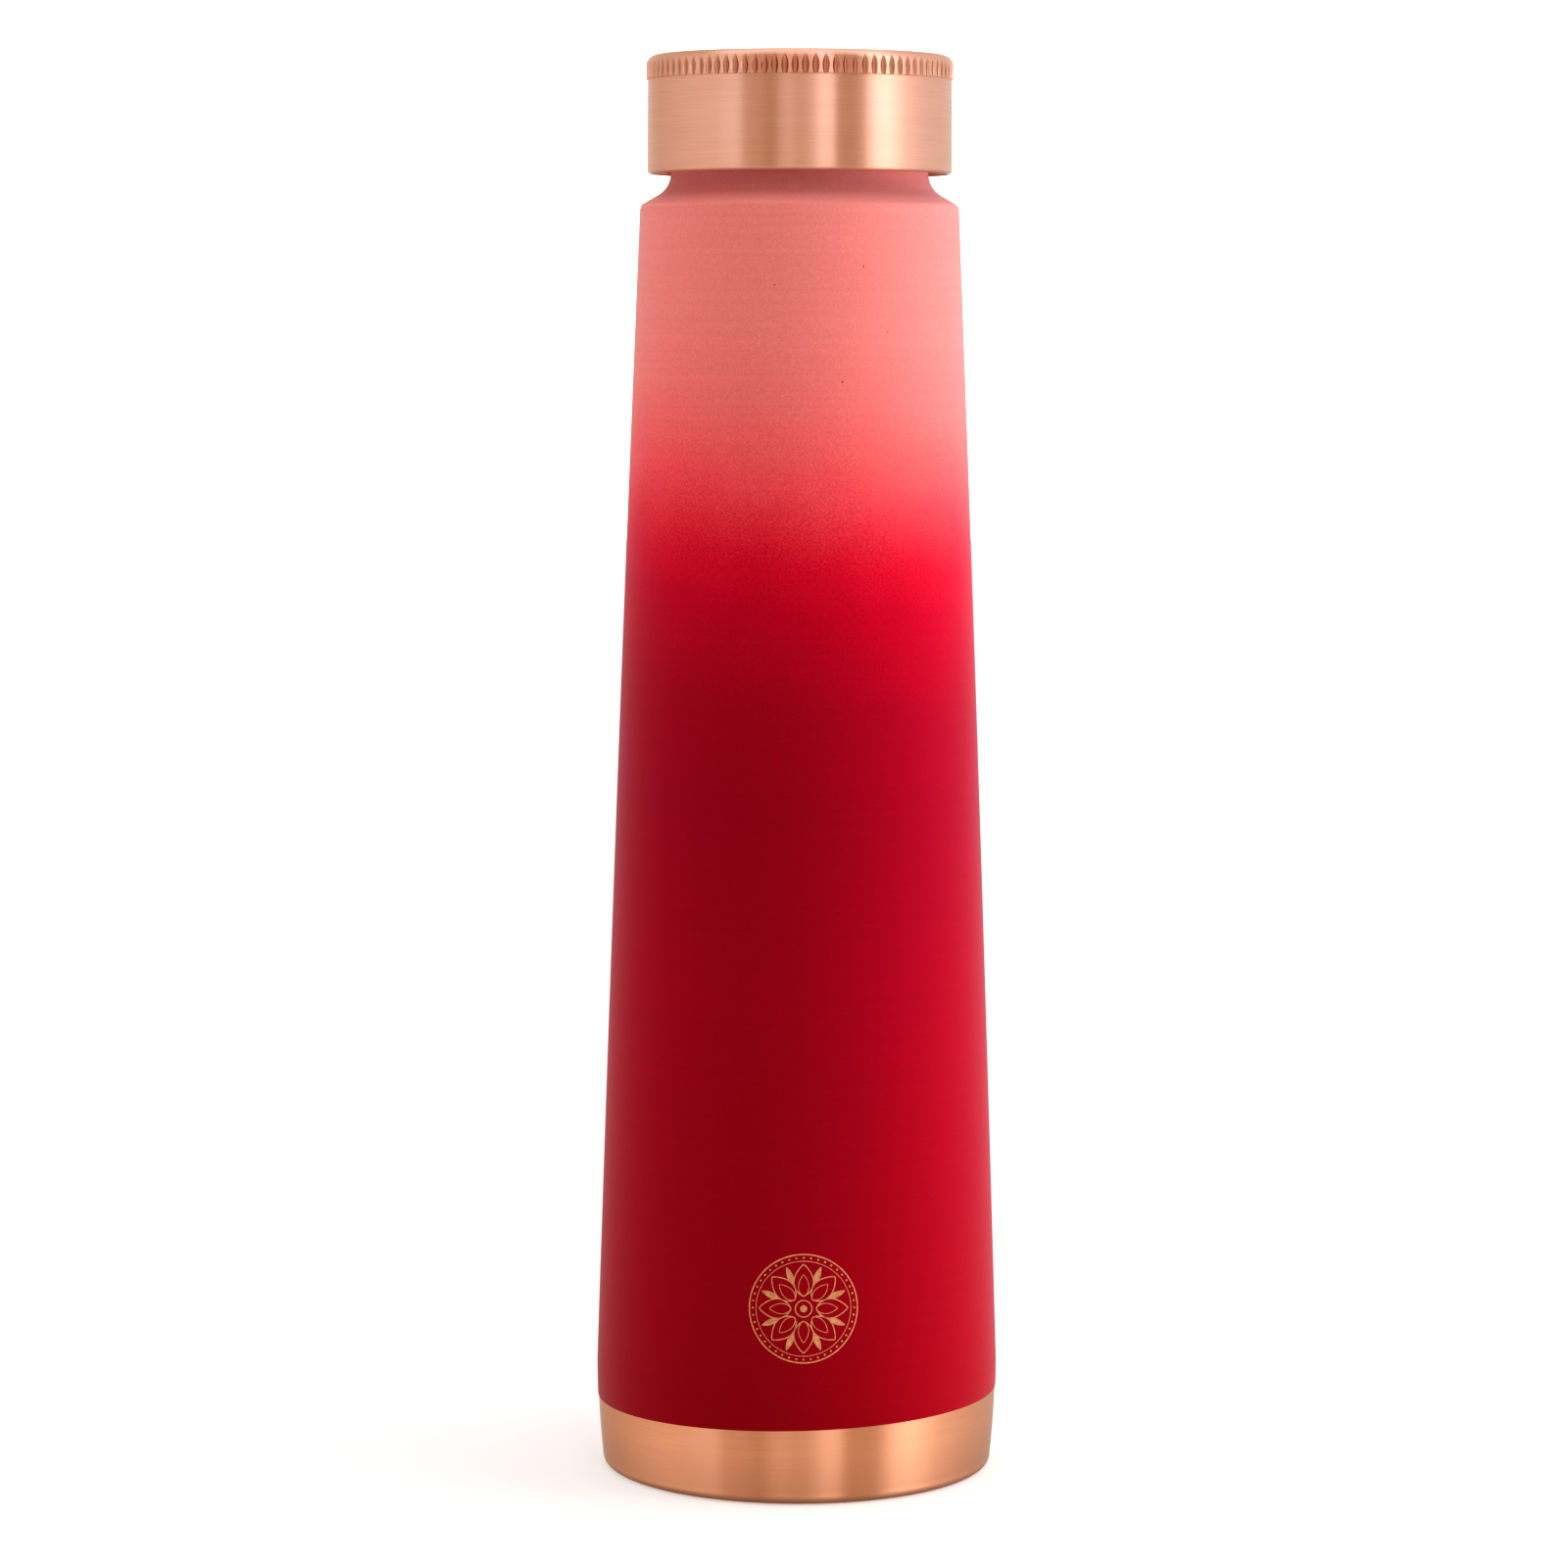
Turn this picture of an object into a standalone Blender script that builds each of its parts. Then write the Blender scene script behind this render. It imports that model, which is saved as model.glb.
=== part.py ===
"""A copper water bottle with a screw cap, as eight separate pieces of sheet copper and silicone rubber.

The frame: the origin is on the bottle's axis at the level of the surface it stands on, and +Z is up.
Every turned piece is a half section in the plane of +X and +Z, turned once about Z by a Screw modifier.
"""

from math import atan2, cos, degrees, pi, radians, sin, sqrt, tan, tau

import bmesh
import bpy
from mathutils import Vector

# Driving dimensions, in metres

GAP = 0.0003  # kept between pieces that touch on the real bottle
SHEET = 0.0005  # copper sheet of the body
CAP_SHEET = 0.0007  # thicker copper sheet of the cap and its thread ring

BOTTLE_HEIGHT = 0.279
HIP_RADIUS = 0.0399  # the widest circle of the wall
HIP_HEIGHT = 0.021
HIP_CURVE = 0.180  # radius of the curve that draws the wall in below the hip
SHOULDER_RADIUS = 0.0312  # the wall's outside at the shoulder edge
SHOULDER_HEIGHT = 0.2504
SHOULDER_SLOPE = radians(30)
SHOULDER_EDGE = 0.0012  # radius of the crisp shoulder edge
WALL_CROWN = 0.00027  # how far the wall bulges past a straight taper, half way up
NECK_RADIUS = 0.0252
NECK_FILLET = 0.005
LIP_CURL = 0.0002  # inside radius of the rolled lip

SEAM_HEIGHT = 0.0149  # top of the bare foot band
SEAM_STEP = 0.00015  # the foot band sits in by this much
LAP = 0.007  # length of the two brazed laps
FOOT_CORNER = 0.0018  # radius where the foot band turns under
FOOT_WIDTH = 0.003  # flat ring that the bottle stands on
PUSH_UP = 0.002  # height of the bottom's middle above that ring
PUSH_UP_SLOPE = 0.003  # width of the sloping step up to it

CAP_HEIGHT = 0.023
CAP_RADIUS = 0.0297  # outside of the skirt at its top
CAP_FLARE = 0.0001  # the skirt opens by this much towards its bottom edge
CAP_CORNER = 0.002  # radius of the cap's top edge
KNURL_STEP = 0.0003  # the fluted band stands out of the skirt by this much
KNURL_HEIGHT = 0.0027
FLUTES = 96
FLUTE_DEPTH = 0.00055
FLUTE_HALF_WIDTH = 0.00062
FLUTE_RISE = 0.0011  # how far a flute's tip runs up into the round top edge

SEAL_THICKNESS = 0.0016
SEAL_BORE = 0.0215
NECK_RING_RAISE = 0.0015  # height of each thread ring's lower edge above the cap's lower edge
CAP_RING_RAISE = 0.0012
THREAD_PITCH = 0.0035
THREAD_TURNS = 3
THREAD_LEAD_IN = 0.0022  # from the neck ring's lower edge to the middle of its thread's first turn
THREAD_BEAD = 0.00085  # radius of the round bead that forms the thread
THREAD_STAND = 0.0004  # the middle of the bead stands off the neck ring by this much
THREAD_DEPTH = 0.00105  # the two threads' middles are this far apart, measured from the axis

# Sizes that follow from them

KNURL_RADIUS = CAP_RADIUS + KNURL_STEP
KNURL_TOP = BOTTLE_HEIGHT - CAP_CORNER
KNURL_BOTTOM = KNURL_TOP - KNURL_HEIGHT
CAP_BOTTOM = BOTTLE_HEIGHT - CAP_HEIGHT
CAP_BORE = CAP_RADIUS - CAP_SHEET
CAP_ROOF = BOTTLE_HEIGHT - CAP_SHEET

CAP_RING_RADIUS = CAP_BORE - GAP
CAP_RING_BORE = CAP_RING_RADIUS - CAP_SHEET
CAP_RING_BOTTOM = CAP_BOTTOM + CAP_RING_RAISE
CAP_RING_TOP = CAP_ROOF - GAP

LINER_BOTTOM = CAP_RING_TOP - SHEET
LINER_RADIUS = CAP_RING_BORE - GAP
SEAL_TOP = LINER_BOTTOM - GAP
SEAL_BOTTOM = SEAL_TOP - SEAL_THICKNESS

LIP_TOP = SEAL_BOTTOM - GAP
NECK_RING_BORE = NECK_RADIUS + GAP
NECK_RING_RADIUS = NECK_RING_BORE + SHEET
NECK_RING_BOTTOM = CAP_BOTTOM + NECK_RING_RAISE
NECK_RING_TOP = LIP_TOP - 2 * (LIP_CURL + SHEET) - GAP

NECK_BEAD_RADIUS = NECK_RING_RADIUS + THREAD_STAND  # from the axis to the middle of each thread's bead
CAP_BEAD_RADIUS = NECK_BEAD_RADIUS + THREAD_DEPTH
NECK_BEAD_START = NECK_RING_BOTTOM + THREAD_LEAD_IN
CAP_BEAD_START = NECK_BEAD_START - THREAD_PITCH / 2

ROUND_STEPS = 40  # sides of the body's turned pieces
CAP_STEPS = FLUTES  # sides of the cap shell, one for each flute
THREAD_STEPS = 30  # points along one turn of a thread


# Half sections: lists of (radius, height)


def arc(centre, radius, start, end, steps):
    """Points of a round corner, with angles in degrees from +X towards +Z."""
    turn = [radians(start + (end - start) * i / steps) for i in range(steps + 1)]
    return [(centre[0] + radius * cos(a), centre[1] + radius * sin(a)) for a in turn]


def wall_radius(height):
    """The wall's outside radius: a barely crowned taper above the hip, and a long inward curve below."""
    if height < HIP_HEIGHT:
        return HIP_RADIUS - (HIP_HEIGHT - height) ** 2 / (2 * HIP_CURVE)
    share = (height - HIP_HEIGHT) / (SHOULDER_HEIGHT - HIP_HEIGHT)
    straight = HIP_RADIUS + (SHOULDER_RADIUS - HIP_RADIUS) * share
    return straight + 4 * WALL_CROWN * share * (1 - share)


def wall_rows(top, bottom, steps, inset=0.0):
    """Points down the wall's outside, moved in towards the axis by the inset."""
    heights = [top + (bottom - top) * i / steps for i in range(steps + 1)]
    return [(wall_radius(z) - inset, z) for z in heights]


def body_wall_section():
    taper = wall_rows(SHOULDER_HEIGHT - SHOULDER_EDGE - GAP, HIP_HEIGHT, 6)
    below_hip = wall_rows(HIP_HEIGHT, SEAM_HEIGHT + GAP, 2)
    return taper + below_hip[1:]


def shoulder_neck_section():
    """From the rolled lip's end, over it, down the neck and shoulder, and in to the lap inside the wall."""
    curl_centre = (NECK_RADIUS + LIP_CURL, LIP_TOP - LIP_CURL - SHEET)
    curl = arc(curl_centre, LIP_CURL, -30, 180, 5)
    slope_end = 90 - degrees(SHOULDER_SLOPE)
    edge_centre = (wall_radius(SHOULDER_HEIGHT) - SHOULDER_EDGE, SHOULDER_HEIGHT - SHOULDER_EDGE)
    edge = arc(edge_centre, SHOULDER_EDGE, slope_end, 0, 2)
    # The fillet's centre lies where a circle meets both the neck and the slope.
    fillet_x = NECK_RADIUS + NECK_FILLET
    slope_x, slope_z = edge[0]
    rise = NECK_FILLET / cos(SHOULDER_SLOPE) + (slope_x - fillet_x) * tan(SHOULDER_SLOPE)
    fillet = arc((fillet_x, slope_z + rise), NECK_FILLET, 180, 180 + slope_end, 3)
    edge_end = edge[-1][1]
    lap = wall_rows(edge_end - SHEET / 2, edge_end - LAP, 1, SHEET + GAP)
    return curl + fillet + edge + lap


def base_cup_section():
    """From the lap inside the wall, out to the band, round the corner and in over the foot to the axis."""
    lap = wall_rows(SEAM_HEIGHT + LAP, SEAM_HEIGHT, 1, SHEET + GAP)
    band = wall_rows(SEAM_HEIGHT, FOOT_CORNER, 3, SEAM_STEP)
    tuck = atan2(HIP_HEIGHT - FOOT_CORNER, HIP_CURVE)
    corner_centre = (band[-1][0] - FOOT_CORNER * cos(tuck), FOOT_CORNER)
    corner = arc(corner_centre, FOOT_CORNER, 0, -90, 3)
    foot_inner = corner_centre[0] - FOOT_WIDTH
    push_up = [(foot_inner, 0), (foot_inner - PUSH_UP_SLOPE, PUSH_UP), (0, PUSH_UP)]
    return lap + band[:-1] + corner + push_up


def cap_shell_section():
    """Down the outside from the middle of the top, round the bottom edge, and up the inside."""
    top = arc((KNURL_RADIUS - CAP_CORNER, KNURL_TOP), CAP_CORNER, 90, 0, 3)
    skirt_end = CAP_RADIUS + CAP_FLARE
    hem = arc((skirt_end - CAP_SHEET, CAP_BOTTOM + CAP_SHEET), CAP_SHEET, 0, -80, 3)
    return [
        (0, BOTTLE_HEIGHT),
        *top,
        (KNURL_RADIUS, KNURL_BOTTOM + KNURL_STEP),
        (CAP_RADIUS, KNURL_BOTTOM),
        *hem,
        (CAP_BORE, CAP_BOTTOM + GAP),
        (CAP_BORE, CAP_ROOF),
        (0, CAP_ROOF),
    ]


def ring_section(inner, outer, bottom, top):
    return [(outer, top), (outer, bottom), (inner, bottom), (inner, top)]


def disc_section(radius, bottom, top):
    return [(0, top), (radius, top), (radius, bottom), (0, bottom)]


# Shapes


def turned(name, section, steps, closed=False):
    """A section turned once about Z: closed for a ring, open where it ends on the axis or is thin."""
    edges = [(i, i + 1) for i in range(len(section) - 1)]
    if closed:
        edges.append((len(section) - 1, 0))
    mesh = bpy.data.meshes.new(name)
    mesh.from_pydata([(r, 0, z) for r, z in section], edges, [])
    obj = bpy.data.objects.new(name, mesh)
    screw = obj.modifiers.new("turn", "SCREW")
    screw.axis = "Z"
    screw.angle = tau
    screw.steps = steps
    screw.render_steps = steps
    screw.use_merge_vertices = True
    screw.merge_threshold = 0.00001
    return obj


def turned_sheet(name, section):
    """A turned surface given its sheet thickness on the side that faces the axis."""
    obj = turned(name, section, ROUND_STEPS)
    solidify = obj.modifiers.new("sheet", "SOLIDIFY")
    solidify.thickness = SHEET
    solidify.offset = -1
    solidify.use_even_offset = True
    return obj


def thread_route(name, radius, start_height, start_angle):
    """A right-hand helix as a round cord, thinning over the first and last eighth of a turn."""
    steps = THREAD_TURNS * THREAD_STEPS
    fade = THREAD_STEPS // 8
    thinnest = 0.3
    curve = bpy.data.curves.new(name, "CURVE")
    curve.dimensions = "3D"
    curve.bevel_depth = THREAD_BEAD
    curve.bevel_resolution = 2
    curve.use_fill_caps = True
    spline = curve.splines.new("POLY")
    spline.points.add(steps)
    for i, point in enumerate(spline.points):
        angle = start_angle + tau * i / THREAD_STEPS
        height = start_height + THREAD_PITCH * angle / tau
        point.co = (radius * cos(angle), radius * sin(angle), height, 1)
        from_end = min(i, steps - i)
        point.radius = min(1, thinnest + (1 - thinnest) * from_end / fade)
    return bpy.data.objects.new(name, curve)


def thread_bead(name, radius, start_height, start_angle, helpers):
    """The thread as a closed mesh, ready to be joined to its ring."""
    route = thread_route(name + "_route", radius, start_height, start_angle)
    helpers.objects.link(route)
    bpy.context.view_layer.update()
    evaluated = route.evaluated_get(bpy.context.evaluated_depsgraph_get())
    mesh = bpy.data.meshes.new_from_object(evaluated)
    bead = bpy.data.objects.new(name, mesh)
    bead.matrix_world = route.matrix_world
    bpy.data.objects.remove(route)
    cage = bmesh.new()
    cage.from_mesh(mesh)
    bmesh.ops.remove_doubles(cage, verts=cage.verts, dist=0.000001)
    bmesh.ops.recalc_face_normals(cage, faces=cage.faces)
    cage.to_mesh(mesh)
    cage.free()
    add_helper(bead, helpers)
    return bead


def add_flute_cutter(cage, angle):
    """A leaf-shaped cutter, deepest half way up the band. Its tip runs out in the round top edge."""
    clear = 0.0003  # how far the cutter stands out of the band
    overrun = 0.0016  # how far it runs below the band
    past_tip = 0.25  # its upper end lies past the flute's tip by this share of the way there
    spread = FLUTE_HALF_WIDTH * (FLUTE_DEPTH + clear) / FLUTE_DEPTH
    belly = (KNURL_BOTTOM + KNURL_TOP) / 2
    tip_height = KNURL_TOP + FLUTE_RISE
    tip_radius = KNURL_RADIUS - CAP_CORNER + sqrt(CAP_CORNER**2 - FLUTE_RISE**2)
    outward = Vector((cos(angle), sin(angle), 0))
    sideways = Vector((-sin(angle), cos(angle), 0))
    face = outward * (KNURL_RADIUS + clear)
    up = Vector((0, 0, 1))
    keel = cage.verts.new(outward * (KNURL_RADIUS - FLUTE_DEPTH) + up * belly)
    left = cage.verts.new(face - sideways * spread + up * belly)
    right = cage.verts.new(face + sideways * spread + up * belly)
    tip = outward * tip_radius + up * tip_height
    peak = cage.verts.new(tip + (tip - keel.co) * past_tip)
    foot = cage.verts.new(face + up * (KNURL_BOTTOM - overrun))
    for end in (peak, foot):
        for pair in ((keel, left), (left, right), (right, keel)):
            cage.faces.new((*pair, end))


def flute_cutters(helpers):
    """One mesh of separate cutters round the cap's rim band, each in the middle of a side."""
    cage = bmesh.new()
    for i in range(FLUTES):
        add_flute_cutter(cage, tau * (i + 0.5) / FLUTES)
    bmesh.ops.recalc_face_normals(cage, faces=cage.faces)
    mesh = bpy.data.meshes.new("flute_cutters")
    cage.to_mesh(mesh)
    cage.free()
    cutters = bpy.data.objects.new("flute_cutters", mesh)
    add_helper(cutters, helpers)
    return cutters


def add_helper(obj, helpers):
    obj.hide_render = True
    obj.display_type = "WIRE"
    helpers.objects.link(obj)


def add_boolean(obj, other, operation):
    boolean = obj.modifiers.new(operation.lower(), "BOOLEAN")
    boolean.operation = operation
    boolean.solver = "EXACT"
    boolean.object = other


def finish_piece(obj, collection, colour, metallic, roughness):
    """Gives a piece its own material and puts it in the bottle's collection."""
    material = bpy.data.materials.new(obj.name)
    material.use_nodes = True
    shader = material.node_tree.nodes["Principled BSDF"]
    shader.inputs["Base Color"].default_value = (*colour, 1)
    shader.inputs["Metallic"].default_value = metallic
    shader.inputs["Roughness"].default_value = roughness
    obj.data.materials.append(material)
    collection.objects.link(obj)


# The bottle's pieces


def make_body_wall(bottle):
    wall = turned_sheet("body_wall", body_wall_section())
    finish_piece(wall, bottle, colour=(0.42, 0.01, 0.02), metallic=0.0, roughness=0.55)


def make_shoulder_neck(bottle):
    shoulder = turned_sheet("shoulder_neck", shoulder_neck_section())
    finish_piece(shoulder, bottle, colour=(0.72, 0.19, 0.18), metallic=0.0, roughness=0.6)


def make_base_cup(bottle):
    cup = turned_sheet("base_cup", base_cup_section())
    finish_piece(cup, bottle, colour=(0.85, 0.46, 0.30), metallic=1.0, roughness=0.35)


def make_neck_thread_ring(bottle, helpers):
    section = ring_section(NECK_RING_BORE, NECK_RING_RADIUS, NECK_RING_BOTTOM, NECK_RING_TOP)
    ring = turned("neck_thread_ring", section, ROUND_STEPS, closed=True)
    bead = thread_bead("neck_bead", NECK_BEAD_RADIUS, NECK_BEAD_START, 0, helpers)
    add_boolean(ring, bead, "UNION")
    finish_piece(ring, bottle, colour=(0.82, 0.44, 0.28), metallic=1.0, roughness=0.3)


def make_cap_shell(bottle, helpers):
    shell = turned("cap_shell", cap_shell_section(), CAP_STEPS)
    add_boolean(shell, flute_cutters(helpers), "DIFFERENCE")
    finish_piece(shell, bottle, colour=(0.86, 0.50, 0.34), metallic=1.0, roughness=0.32)


def make_cap_thread_ring(bottle, helpers):
    section = ring_section(CAP_RING_BORE, CAP_RING_RADIUS, CAP_RING_BOTTOM, CAP_RING_TOP)
    ring = turned("cap_thread_ring", section, ROUND_STEPS, closed=True)
    bead = thread_bead("cap_bead", CAP_BEAD_RADIUS, CAP_BEAD_START, pi / 2, helpers)
    add_boolean(ring, bead, "UNION")
    finish_piece(ring, bottle, colour=(0.80, 0.43, 0.27), metallic=1.0, roughness=0.34)


def make_cap_liner_disc(bottle):
    section = disc_section(LINER_RADIUS, LINER_BOTTOM, CAP_RING_TOP)
    disc = turned("cap_liner_disc", section, ROUND_STEPS)
    finish_piece(disc, bottle, colour=(0.84, 0.47, 0.31), metallic=1.0, roughness=0.3)


def make_cap_seal(bottle):
    section = ring_section(SEAL_BORE, LINER_RADIUS, SEAL_BOTTOM, SEAL_TOP)
    seal = turned("cap_seal", section, ROUND_STEPS, closed=True)
    finish_piece(seal, bottle, colour=(0.80, 0.79, 0.76), metallic=0.0, roughness=0.5)


def build_bottle():
    for obj in list(bpy.data.objects):
        bpy.data.objects.remove(obj)
    bottle = bpy.data.collections.new("copper_water_bottle")
    helpers = bpy.data.collections.new("helpers")
    for collection in (bottle, helpers):
        bpy.context.scene.collection.children.link(collection)
    make_body_wall(bottle)
    make_shoulder_neck(bottle)
    make_base_cup(bottle)
    make_neck_thread_ring(bottle, helpers)
    make_cap_shell(bottle, helpers)
    make_cap_thread_ring(bottle, helpers)
    make_cap_liner_disc(bottle)
    make_cap_seal(bottle)


build_bottle()
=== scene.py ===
"""The looks of the copper water bottle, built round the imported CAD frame.

The finer pieces here keep the CAD's own sizes. Each is turned about Z from a half section, a list of
(radius, height) points in metres, and stands for the CAD node whose place it takes.
"""

from math import atan2, cos, degrees, hypot, pi, radians, sin, tan, tau

import bmesh
import bpy
import numpy as np
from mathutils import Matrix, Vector


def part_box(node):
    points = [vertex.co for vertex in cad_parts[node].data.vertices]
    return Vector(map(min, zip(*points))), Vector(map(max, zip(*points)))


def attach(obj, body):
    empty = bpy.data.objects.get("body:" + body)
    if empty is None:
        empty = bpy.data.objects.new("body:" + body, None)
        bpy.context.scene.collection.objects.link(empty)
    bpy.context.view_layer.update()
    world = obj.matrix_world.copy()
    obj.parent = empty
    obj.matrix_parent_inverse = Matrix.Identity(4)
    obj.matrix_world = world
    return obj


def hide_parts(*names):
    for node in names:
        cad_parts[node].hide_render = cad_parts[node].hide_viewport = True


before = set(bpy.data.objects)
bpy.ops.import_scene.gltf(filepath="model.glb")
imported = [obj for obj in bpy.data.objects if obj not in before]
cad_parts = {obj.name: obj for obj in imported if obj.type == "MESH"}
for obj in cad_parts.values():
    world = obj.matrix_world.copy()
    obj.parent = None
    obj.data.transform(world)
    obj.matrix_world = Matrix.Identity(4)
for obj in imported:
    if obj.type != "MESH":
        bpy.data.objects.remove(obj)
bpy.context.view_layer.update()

# Boxes read from the frame, as their lowest and highest corners

WALL_LOW, WALL_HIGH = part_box("body_wall")
NECK_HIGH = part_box("shoulder_neck")[1]
NECK_RING_LOW, NECK_RING_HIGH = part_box("neck_thread_ring")
CAP_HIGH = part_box("cap_shell")[1]
CAP_RING_LOW, CAP_RING_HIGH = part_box("cap_thread_ring")
LINER_LOW, LINER_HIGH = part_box("cap_liner_disc")
SEAL_LOW, SEAL_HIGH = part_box("cap_seal")

# Sizes that a box doesn't give, as the CAD has them

GAP = 0.0003
SHEET = 0.0005
CAP_SHEET = 0.0007
HIP_HEIGHT = 0.021
HIP_CURVE = 0.180
WALL_CROWN = 0.00027
SHOULDER_SLOPE = radians(30)
SHOULDER_EDGE = 0.0012
NECK_RADIUS = 0.0252
NECK_FILLET = 0.005
NECK_RING_RAISE = 0.0015  # of the neck ring's lower edge above the cap's
LIP_CURL = 0.0002
SEAM_STEP = 0.00015
LAP = 0.007  # how far the shoulder's and the foot's rims reach inside the wall
FOOT_CORNER = 0.0018
FOOT_WIDTH = 0.003
PUSH_UP = 0.002
PUSH_UP_SLOPE = 0.003
CAP_CORNER = 0.002
CAP_FLARE = 0.0001
KNURL_STEP = 0.0003
KNURL_HEIGHT = 0.0027
FLUTES = 96
FLUTE_DEPTH = 0.00055
FLUTE_RISE = 0.0011
THREAD_PITCH = 0.0035
THREAD_TURNS = 3
THREAD_LEAD_IN = 0.0022
THREAD_BEAD = 0.00085
THREAD_STAND = 0.0004
THREAD_DEPTH = 0.00105
SEAL_BORE = 0.0215

# Sizes that follow from both

HIP_RADIUS = WALL_HIGH.x
SEAM_HEIGHT = WALL_LOW.z - GAP
SHOULDER_RADIUS = NECK_HIGH.x
SHOULDER_HEIGHT = WALL_HIGH.z + GAP + SHOULDER_EDGE
LIP_TOP = SEAL_LOW.z - GAP
CAP_BOTTOM = NECK_RING_LOW.z - NECK_RING_RAISE
CAP_TOP = CAP_HIGH.z
KNURL_RADIUS = CAP_HIGH.x
CAP_RADIUS = KNURL_RADIUS - KNURL_STEP
CAP_BORE = CAP_RADIUS - CAP_SHEET
CAP_ROOF = CAP_TOP - CAP_SHEET
KNURL_TOP = CAP_TOP - CAP_CORNER
KNURL_BOTTOM = KNURL_TOP - KNURL_HEIGHT
NECK_RING_BORE = NECK_RADIUS + GAP
NECK_RING_RADIUS = NECK_RING_BORE + SHEET
NECK_BEAD_START = NECK_RING_LOW.z + THREAD_LEAD_IN
CAP_RING_RADIUS = CAP_BORE - GAP
CAP_RING_BORE = CAP_RING_RADIUS - CAP_SHEET

# The looks' own sizes

COAT = 0.00012  # thickness of the powder coat
COAT_AIR = 0.00003  # kept between the coat and the copper under it
PAINT_LINE = 0.0149  # height of the coat's lower edge on the axis' line of sight
PAINT_TILT = 0.0254  # the masking ran a little higher on the right
COAT_TOP = CAP_BOTTOM + 0.0008
HEM_TOP = HIP_HEIGHT + 0.01  # above this the coat's rows are level
BAND_TOP = SEAM_HEIGHT + 0.0024  # the foot's bare band runs on under the coat as far as this
BAND_TO_WALL = 0.0006  # from there up to the copper wall's lower edge
FLUTE_HALF_WIDTH = 0.0007
EMBLEM_HEIGHT = 0.0387  # of the emblem's middle
EMBLEM_ASIDE = 0.0012  # it sits a little to the right
EMBLEM_PROUD = 0.00003
EMBLEM_SUNK = 0.00009  # how far the emblem's bodies reach down into the coat

ROUND_STEPS = 256
FLUTE_STEPS = 14  # columns across one flute
FLUTE_EDGE_COLUMN = 5  # the column, counted from a flute's middle, that follows its edge
GROOVE_FLOOR = 0.0002  # a groove's bottom lies further out than this from the cap's bore
THREAD_COLUMNS = 240


# Half sections


def arc(centre, radius, start, end, steps):
    """Points of a round corner, with angles in degrees from +X towards +Z."""
    turn = [radians(start + (end - start) * i / steps) for i in range(steps + 1)]
    return [(centre[0] + radius * cos(a), centre[1] + radius * sin(a)) for a in turn]


def line(start, end, steps):
    """Points along a straight run, both ends included."""
    shares = [i / steps for i in range(steps + 1)]
    return [(start[0] + (end[0] - start[0]) * s, start[1] + (end[1] - start[1]) * s) for s in shares]


def joined(*runs):
    """Runs of points in one list, without the point that two neighbours share."""
    points = []
    for run in runs:
        for point in run:
            if not points or hypot(point[0] - points[-1][0], point[1] - points[-1][1]) > 1e-7:
                points.append(point)
    return points


def offset(points, distance):
    """The path moved to its right-hand side when it is followed from its start, by the distance."""
    moved = []
    for i, (r, z) in enumerate(points):
        before = points[max(i - 1, 0)]
        after = points[min(i + 1, len(points) - 1)]
        dr, dz = after[0] - before[0], after[1] - before[1]
        length = hypot(dr, dz)
        moved.append((max(r + distance * dz / length, 0), z - distance * dr / length))
    return moved


def sheet_section(path, thickness):
    """A closed section: the path down the outside, and back up at the sheet's thickness inside it."""
    return path + offset(path, thickness)[::-1]


def wall_radius(height):
    """The wall's outside: curved in below the hip, and a barely crowned cone above it."""
    if height < HIP_HEIGHT:
        return HIP_RADIUS - (HIP_HEIGHT - height) ** 2 / (2 * HIP_CURVE)
    share = (height - HIP_HEIGHT) / (SHOULDER_HEIGHT - HIP_HEIGHT)
    straight = HIP_RADIUS + (SHOULDER_RADIUS - HIP_RADIUS) * share
    return straight + 4 * WALL_CROWN * share * (1 - share)


def wall_rows(top, bottom, steps, inset=0.0):
    """Points down the wall, moved towards the axis by the inset."""
    heights = [top + (bottom - top) * i / steps for i in range(steps + 1)]
    return [(wall_radius(z) - inset, z) for z in heights]


def shoulder_path(neck_top):
    """Down the outside of the neck, round the fillet, down the slope and round the crisp edge."""
    slope_end = 90 - degrees(SHOULDER_SLOPE)
    edge_centre = (wall_radius(SHOULDER_HEIGHT) - SHOULDER_EDGE, SHOULDER_HEIGHT - SHOULDER_EDGE)
    edge = arc(edge_centre, SHOULDER_EDGE, slope_end, 0, 10)
    fillet_x = NECK_RADIUS + NECK_FILLET
    rise = NECK_FILLET / cos(SHOULDER_SLOPE) + (edge[0][0] - fillet_x) * tan(SHOULDER_SLOPE)
    fillet = arc((fillet_x, edge[0][1] + rise), NECK_FILLET, 180, 180 + slope_end, 14)
    neck = line((NECK_RADIUS, neck_top), fillet[0], 6)
    return joined(neck, fillet, line(fillet[-1], edge[0], 8), edge)


# Turning a section into a mesh


def new_piece(name, mesh, material, body, slot, *nodes):
    """Puts a finished mesh in the scene, on its body and in place of the CAD nodes it stands for."""
    mesh.materials.append(material)
    mesh.shade_smooth()
    mesh.set_sharp_from_angle(angle=radians(38))
    piece = bpy.data.objects.new(name, mesh)
    bpy.context.scene.collection.objects.link(piece)
    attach(piece, body)
    if nodes:
        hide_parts(*nodes)
    return piece


def cleaned_mesh(name, points, faces):
    """A mesh with the points that fell together on the axis joined, and its faces turned outwards."""
    mesh = bpy.data.meshes.new(name)
    mesh.from_pydata(points, [], faces)
    cage = bmesh.new()
    cage.from_mesh(mesh)
    bmesh.ops.remove_doubles(cage, verts=cage.verts, dist=1e-7)
    bmesh.ops.recalc_face_normals(cage, faces=cage.faces)
    cage.to_mesh(mesh)
    cage.free()
    return mesh


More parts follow.
